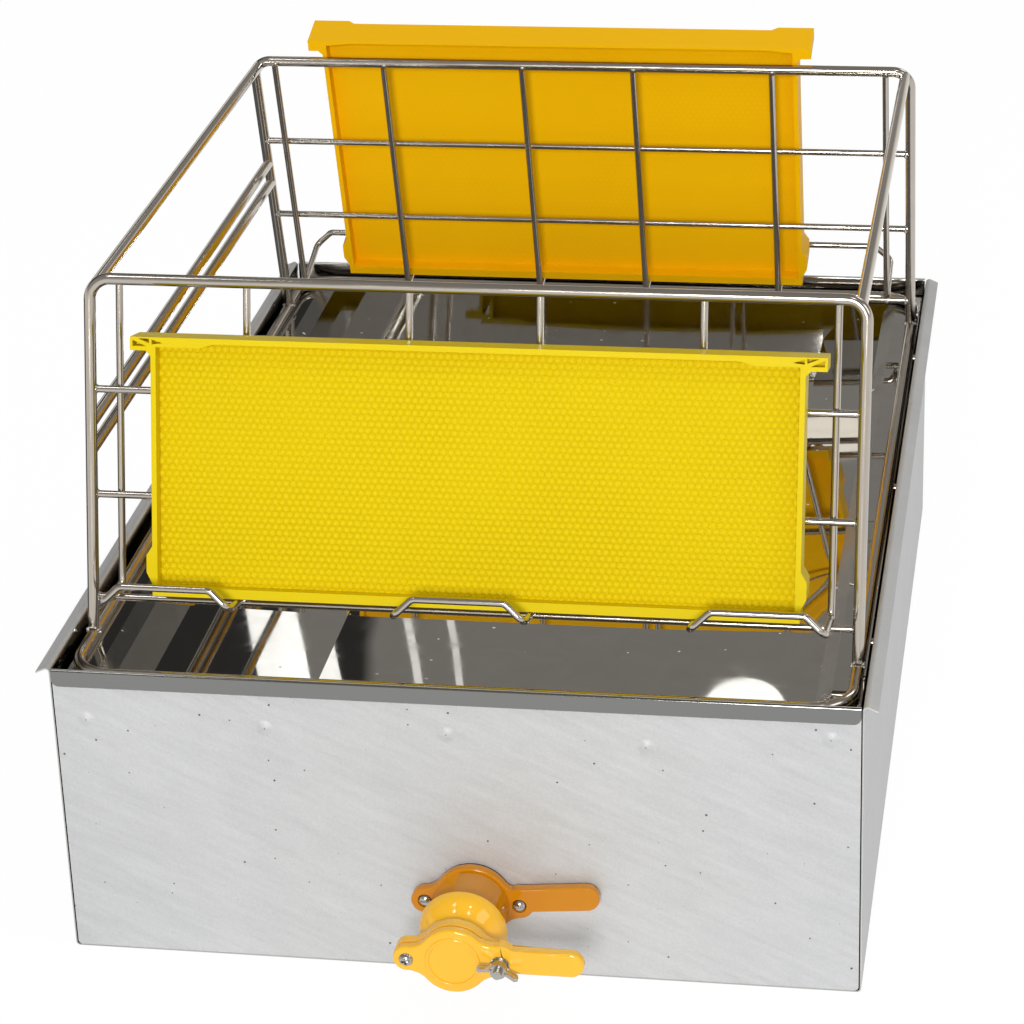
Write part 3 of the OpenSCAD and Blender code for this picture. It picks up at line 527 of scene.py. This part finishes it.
combs = {
    "front": {"side": 0, "x": 6.0, "away": 1.3, "width": 435.0, "height": 175.0, "thick": 25.0,
              "topBar": 3.8, "pitch": 4.85, "material": frontYellow,
              "outer": {"proud": 0.7, "depth": 0.8, "cup": 0.3, "slope": 0.62},
              "inner": {"proud": 0.8, "depth": 1.4, "cup": 0.3, "slope": 0.5}},
    "rear": {"side": 1, "x": -16.0, "away": 4.3, "width": 377.0, "height": 226.5, "thick": 27.0,
             "topBar": 1.8, "pitch": 4.9, "material": rearYellow,
             "outer": {"proud": 0.7, "depth": 1.2, "cup": 0.3, "slope": 0.5},
             "inner": {"proud": 0.08, "depth": 0.04, "cup": 0.02, "slope": 1.0}}}
cellField = {"seat": 32.85, "web": 4.8, "webNear": 0.05, "webLeast": 20000.0, "barEdge": (0.6, 2),
             "sideBar": 3.5, "bottomBar": 6.5, "lap": 0.3, "ridge": 0.18, "merge": 0.02,
             "spare": 2}


def combMiddle(comb):
    # middle of the frame's web, up the slope from the hooks
    place = grillePlace(comb["side"]) @ Matrix.Scale(mm, 4)
    return place @ Matrix.Translation((comb["x"], -comb["away"] - comb["thick"] / 2, cellField["seat"]))


def startCell(pitch, cell):
    # one hexagon cup, ridge at y = 0, cup toward +y; its walls are marked for the material, which darkens
    # them as painted shade
    bm = bmesh.new()
    bmesh.ops.create_circle(bm, cap_ends=True, segments=6, radius=pitch / math.sqrt(3))
    bmesh.ops.inset_individual(bm, faces=bm.faces[:], thickness=cellField["ridge"])
    rim = bm.verts.layers.float.new("rim")
    for vert in bm.verts:
        vert[rim] = 1.0
    floor = [f for f in bm.faces if all(e.is_manifold for e in f.edges)]
    bmesh.ops.inset_individual(bm, faces=floor, thickness=cell["slope"], depth=-cell["depth"])
    for vert in floor[0].verts:
        vert[rim] = 0.0
    bmesh.ops.poke(bm, faces=floor, offset=-cell["cup"])
    bmesh.ops.rotate(bm, verts=bm.verts, matrix=Matrix.Rotation(math.radians(90), 3, "X"))
    return bm


def cellSheet(width, height, pitch, cell):
    # field of cups around the middle, every second row half a pitch over, cut to the frame's opening
    rise = pitch * math.sqrt(3) / 2
    across = math.ceil(width / pitch) + cellField["spare"]
    up = math.ceil(height / rise) + cellField["spare"]
    bm = startCell(pitch, cell)
    first = everything(bm)
    for i in range(1, across):
        made = bmesh.ops.duplicate(bm, geom=first)["geom"]
        bmesh.ops.translate(bm, verts=vertsOf(made), vec=(i * pitch, 0, 0))
    row = everything(bm)
    for j in range(1, up):
        made = bmesh.ops.duplicate(bm, geom=row)["geom"]
        bmesh.ops.translate(bm, verts=vertsOf(made), vec=(pitch / 2 * (j % 2), 0, j * rise))
    bmesh.ops.translate(bm, verts=bm.verts, vec=(-(across - 0.5) * pitch / 2, 0, -(up - 1) * rise / 2))
    bmesh.ops.remove_doubles(bm, verts=bm.verts, dist=cellField["merge"])
    for way, reach in (((1, 0, 0), width), ((-1, 0, 0), width), ((0, 0, 1), height), ((0, 0, -1), height)):
        bmesh.ops.bisect_plane(bm, geom=everything(bm), plane_co=Vector(way) * reach / 2, plane_no=way,
                               clear_outer=True)
    return bm


def makeComb(name, comb):
    middle = combMiddle(comb)
    back = middle.inverted()
    webHalf = cellField["web"] / 2

    def isWeb(face):
        # the two large faces of the web, which the cells stand for
        spot = back @ face.calc_center_median()
        large = face.calc_area() > cellField["webLeast"] * mm * mm
        return large and abs(abs(spot.y) - webHalf) < cellField["webNear"]

    body = name + "_comb"
    softCopy(name + "_comb_frame", cellField["barEdge"], body, drop=isWeb)
    width = comb["width"] - 2 * cellField["sideBar"] + cellField["lap"]
    height = comb["height"] - cellField["bottomBar"] - comb["topBar"] + cellField["lap"]
    middleZ = (comb["height"] + cellField["bottomBar"] - comb["topBar"]) / 2
    for face in ("Outer", "Inner"):
        cell = comb[face.lower()]
        bm = cellSheet(width, height, comb["pitch"], cell)
        lift = webHalf + cell["proud"]
        if face == "Inner":
            bmesh.ops.rotate(bm, verts=bm.verts, matrix=Matrix.Rotation(math.pi, 3, "Z"))
        place = middle @ Matrix.Translation((0, lift if face == "Inner" else -lift, middleZ))
        bmesh.ops.transform(bm, matrix=place, verts=bm.verts)
        if comb["side"]:
            bmesh.ops.reverse_faces(bm, faces=bm.faces)
        newPiece(name + "CombCells" + face, bm, comb["material"], body, angle=50,
                 turnFaces=False)


for combName in combs:
    makeComb(combName, combs[combName])
print("comb frames and cells made")

# spot welds of the tray's carriers: a row of shallow swellings in the front wall

swellings = {"face": -377.5, "spots": ((-247, 178), (-125, 178), (-3, 180), (129, 178), (249, 190)),
             "reach": 6.5, "high": 1.1, "proud": 0.02, "rings": 8, "turns": 28, "merge": 0.01}


def makeSwellings():
    bm = bmesh.new()
    for x, z in swellings["spots"]:
        line = []
        for i in range(swellings["rings"] + 1):
            out = i / swellings["rings"]
            rise = swellings["high"] * (1 - out ** 2) ** 2 + swellings["proud"]
            line.append(bm.verts.new((x + out * swellings["reach"], swellings["face"] - rise, z)))
        edges = [bm.edges.new(pair) for pair in zip(line, line[1:])]
        bmesh.ops.spin(bm, geom=line + edges, cent=(x, swellings["face"], z), axis=(0, 1, 0), angle=math.tau,
                       steps=swellings["turns"], use_merge=True)
    bmesh.ops.remove_doubles(bm, verts=bm.verts, dist=swellings["merge"])
    bmesh.ops.scale(bm, verts=bm.verts, vec=(mm, mm, mm))
    newPiece("wallSwellings", bm, endSheet, "tank", angle=60)


makeSwellings()
print("spot welds set")

# welds of the rod work: small beads where rods and wires meet

welds = {"seed": 7, "nugget": (1.9, 1.1, 1.9), "topOut": 0.7,
         "footReach": 4.4, "footStretch": 1.05, "footBase": 0.4, "footRise": 3.9, "footLump": 1.25,
         "footVary": (0.85, 1.2), "footCount": 12,
         "endIn": 3.6, "endReach": 2.5, "endLump": 1.1, "endVary": (0.8, 1.2), "endCount": 8}


def addLump(bm, spot, size):
    place = Matrix.Translation(spot) @ Matrix.Diagonal((*size, 1.0))
    bmesh.ops.create_icosphere(bm, subdivisions=1, radius=1.0, matrix=place)


def addFootWeld(bm, place, x, chance):
    # ring of lumps where a hoop's leg stands on the base ring, higher where the two rods part
    reach = welds["footReach"]
    for i in range(welds["footCount"]):
        turn = math.tau * i / welds["footCount"]
        spot = Vector((x + reach * math.cos(turn), reach * welds["footStretch"] * math.sin(turn),
                       welds["footBase"] + welds["footRise"] * abs(math.sin(turn))))
        size = welds["footLump"] * chance.uniform(*welds["footVary"]) * mm
        addLump(bm, place @ spot, (size, size, size))


def addEndWeld(bm, place, x, s, chance):
    # ring of lumps where a cross wire meets a hoop's leg
    edge = x - math.copysign(welds["endIn"], x)
    for i in range(welds["endCount"]):
        turn = math.tau * i / welds["endCount"]
        spot = Vector((edge, rodWork["crossN"] + welds["endReach"] * math.cos(turn),
                       s + welds["endReach"] * math.sin(turn)))
        size = welds["endLump"] * chance.uniform(*welds["endVary"]) * mm
        addLump(bm, place @ spot, (size, size, size))


def makeWelds():
    chance = random.Random(welds["seed"])
    nugget = [v * mm for v in welds["nugget"]]
    bm = bmesh.new()
    for side in (0, 1):
        place = grillePlace(side) @ Matrix.Scale(mm, 4)
        for x in (-rodWork["ringX"], rodWork["ringX"]):
            addFootWeld(bm, place, x, chance)
            for s in rodWork["crossS"]:
                addEndWeld(bm, place, x, s, chance)
        for middleX in rodWork["hookX"]:
            for x in (middleX - rodWork["hookHalf"], middleX + rodWork["hookHalf"]):
                for s in rodWork["crossS"]:
                    addLump(bm, place @ Vector((x, (rodWork["upN"] + rodWork["crossN"]) / 2, s)), nugget)
                spot = Vector((x, rodWork["upN"] / 2 + welds["topOut"], rodWork["hoopH"]))
                addLump(bm, place @ spot, nugget)
    newPiece("rodWelds", bm, weldSilver, "rod_work", angle=60)


makeWelds()
print("welds set")

# camera, floor, light

# spot and lens in mm, turns in degrees, farEnd in metres
view = {"spot": (391.7, -2290.5, 1251.6), "yaw": 10.23, "pitch": 25.05, "roll": -2.14, "lens": 119.29,
        "sensor": 36.0, "farEnd": 50.0}


def makeCamera():
    yaw, pitch, roll = (math.radians(view[k]) for k in ("yaw", "pitch", "roll"))
    ahead = Vector((-math.sin(yaw) * math.cos(pitch), math.cos(yaw) * math.cos(pitch), -math.sin(pitch)))
    right = Vector((math.cos(yaw), math.sin(yaw), 0))
    up = right.cross(ahead)
    side = right * math.cos(roll) + up * math.sin(roll)
    top = up * math.cos(roll) - right * math.sin(roll)
    data = bpy.data.cameras.new("photoCamera")
    data.lens = view["lens"]
    data.sensor_width = view["sensor"]
    data.clip_end = view["farEnd"]
    camera = bpy.data.objects.new("photoCamera", data)
    turn = Matrix((side, top, -ahead)).transposed().to_4x4()
    camera.matrix_world = Matrix.Translation(Vector(view["spot"]) * mm) @ turn
    scene.collection.objects.link(camera)
    scene.camera = camera


makeCamera()

# in metres; metal sees the floor left of the tank darker, which draws the left edges of the rods
paleFloor = {"half": 6.0, "drop": 0.0006, "paper": "#F4F4F4", "light": "#FFFFFF", "lightShare": 0.92,
             "glow": 1.03, "darkX": -0.5, "paleX": -0.2, "paleY": -0.6, "darkY": -0.4, "loss": 0.92}


def makeFloor():
    # paper, matt coated: an even white without shine; camera and metal see it mostly as light of its own
    bm = bmesh.new()
    bmesh.ops.create_grid(bm, x_segments=1, y_segments=1, size=paleFloor["half"])
    bmesh.ops.translate(bm, verts=bm.verts, vec=(0, 0, -paleFloor["drop"]))
    mesh = bpy.data.meshes.new("paleFloor")
    bm.to_mesh(mesh)
    bm.free()
    material = bpy.data.materials.new("paleFloor")
    material.use_nodes = True
    tree = material.node_tree
    tree.nodes.clear()
    rays = addNode(tree, "LightPath").outputs
    seen = addNode(tree, "Math", {0: rays["Is Camera Ray"], 1: rays["Is Glossy Ray"]},
                   operation="MAXIMUM").outputs[0]
    share = addNode(tree, "Math", {0: seen, 1: paleFloor["lightShare"]}, operation="MULTIPLY").outputs[0]
    place = addNode(tree, "TexCoord").outputs["Object"]
    spot = addNode(tree, "SeparateXYZ", {"Vector": place}).outputs
    left = addNode(tree, "MapRange", {0: spot["X"], 1: paleFloor["darkX"], 2: paleFloor["paleX"],
                                      3: paleFloor["loss"], 4: 0.0}).outputs[0]
    back = addNode(tree, "MapRange", {0: spot["Y"], 1: paleFloor["paleY"], 2: paleFloor["darkY"]}).outputs[0]
    loss = addNode(tree, "Math", {0: left, 1: back}, operation="MULTIPLY").outputs[0]
    loss = addNode(tree, "Math", {0: loss, 1: rays["Is Glossy Ray"]}, operation="MULTIPLY").outputs[0]
    glow = addNode(tree, "Math", {0: paleFloor["glow"], 1: loss}, operation="SUBTRACT").outputs[0]
    matte = addNode(tree, "BsdfDiffuse", {"Color": tone(paleFloor["paper"])}).outputs[0]
    light = addNode(tree, "Emission", {"Color": tone(paleFloor["light"]), "Strength": glow}).outputs[0]
    mixed = addNode(tree, "MixShader", {0: share, 1: matte, 2: light}).outputs[0]
    addNode(tree, "OutputMaterial", {"Surface": mixed})
    mesh.materials.append(material)
    floor = bpy.data.objects.new("paleFloor", mesh)
    scene.collection.objects.link(floor)


makeFloor()

# strengths, and places as parts of a direction of length 1
room = {"white": "#FFFFFF", "warm": "#FFFAF3", "camera": 1.0, "ambient": 0.40, "horizon": 0.95,
        "leftWall": 0.04, "rightWall": 0.31, "frontWall": 0.42, "cornerLeft": -0.202, "cornerRight": -0.198,
        "frontEnd": -0.2, "backEnd": 0.2, "fadeFrom": 0.10, "fadeTo": 0.32,
        "ceilingFrom": 0.6, "ceilingTo": 0.8}


def makeWorld():
    # white to the camera; metal sees a white horizon and above it a room whose left wall is the darker one
    world = bpy.data.worlds.new("studio")
    scene.world = world
    world.use_nodes = True
    tree = world.node_tree
    tree.nodes.clear()
    rays = addNode(tree, "LightPath").outputs
    place = addNode(tree, "TexCoord").outputs["Generated"]
    way = addNode(tree, "SeparateXYZ", {"Vector": place}).outputs
    wall = addNode(tree, "MapRange", {0: way["X"], 1: room["cornerLeft"], 2: room["cornerRight"],
                                      3: room["leftWall"], 4: room["rightWall"]}).outputs[0]
    wall = addNode(tree, "MapRange", {0: way["Y"], 1: room["frontEnd"], 2: room["backEnd"],
                                      3: room["frontWall"], 4: wall},
                   interpolation_type="SMOOTHSTEP").outputs[0]
    wall = addNode(tree, "MapRange", {0: way["Z"], 1: room["ceilingFrom"], 2: room["ceilingTo"],
                                      3: wall, 4: room["rightWall"]}).outputs[0]
    fade = addNode(tree, "MapRange", {0: way["Z"], 1: room["fadeFrom"], 2: room["fadeTo"],
                                      3: room["horizon"], 4: wall},
                   interpolation_type="SMOOTHSTEP").outputs[0]
    white = tone(room["white"])
    plain = addNode(tree, "Background", {"Color": white, "Strength": room["ambient"]}).outputs[0]
    shiny = addNode(tree, "Background", {"Color": tone(room["warm"]), "Strength": fade}).outputs[0]
    clear = addNode(tree, "Background", {"Color": white, "Strength": room["camera"]}).outputs[0]
    mixed = addNode(tree, "MixShader", {0: rays["Is Glossy Ray"], 1: plain, 2: shiny}).outputs[0]
    mixed = addNode(tree, "MixShader", {0: rays["Is Camera Ray"], 1: mixed, 2: clear}).outputs[0]
    addNode(tree, "OutputWorld", {"Surface": mixed})


makeWorld()

# in metres and watts; the small ones are what the polished tray mirrors
lamps = {
    "frontBox": {"spot": (0.47, -9.8, 3.7), "size": (2.5, 2.4), "power": 655.0},
    "fillBox": {"spot": (2.0, -0.9, 1.6), "size": (1.0, 1.0), "power": 6.0},
    "backBox": {"spot": (1.6, 2.0, 2.4), "size": (0.8, 0.8), "power": 7.0},
    "topLeft": {"spot": (-1.0, -0.9, 2.85), "size": (0.34, 0.27), "power": 3.2},
    "topRight": {"spot": (0.9, -1.03, 2.88), "size": (0.34, 0.27), "power": 3.2},
    "windowStrip": {"spot": (-0.452, 0.940, 1.015), "size": (0.058, 0.17), "power": 0.062},
    "tubeLeft": {"spot": (-0.330, 0.940, 1.015), "size": (0.009, 0.17), "power": 0.005},
    "tubeRight": {"spot": (-0.282, 0.940, 1.015), "size": (0.008, 0.17), "power": 0.004},
    "creamBoard": {"spot": (0.045, 0.940, 0.486), "size": (0.08, 0.042), "power": 0.011, "colour": "#FFF6E7"},
    "roundBox": {"spot": (0.010, 0.895, 1.06), "size": (0.10, 0.10), "power": 0.05, "shape": "DISK"}}
lampAim = (0.0, 0.0, 0.2)


def makeLamps():
    for name, lamp in lamps.items():
        data = bpy.data.lights.new(name, "AREA")
        data.shape = lamp.get("shape", "RECTANGLE")
        data.size, data.size_y = lamp["size"]
        data.energy = lamp["power"]
        data.color = tone(lamp.get("colour", "#FFFFFF"))[:3]
        light = bpy.data.objects.new(name, data)
        turn = (Vector(lampAim) - Vector(lamp["spot"])).to_track_quat("-Z", "Y").to_matrix().to_4x4()
        light.matrix_world = Matrix.Translation(lamp["spot"]) @ turn
        scene.collection.objects.link(light)


makeLamps()
scene.view_settings.view_transform = "Standard"
print("camera, floor and light ready")
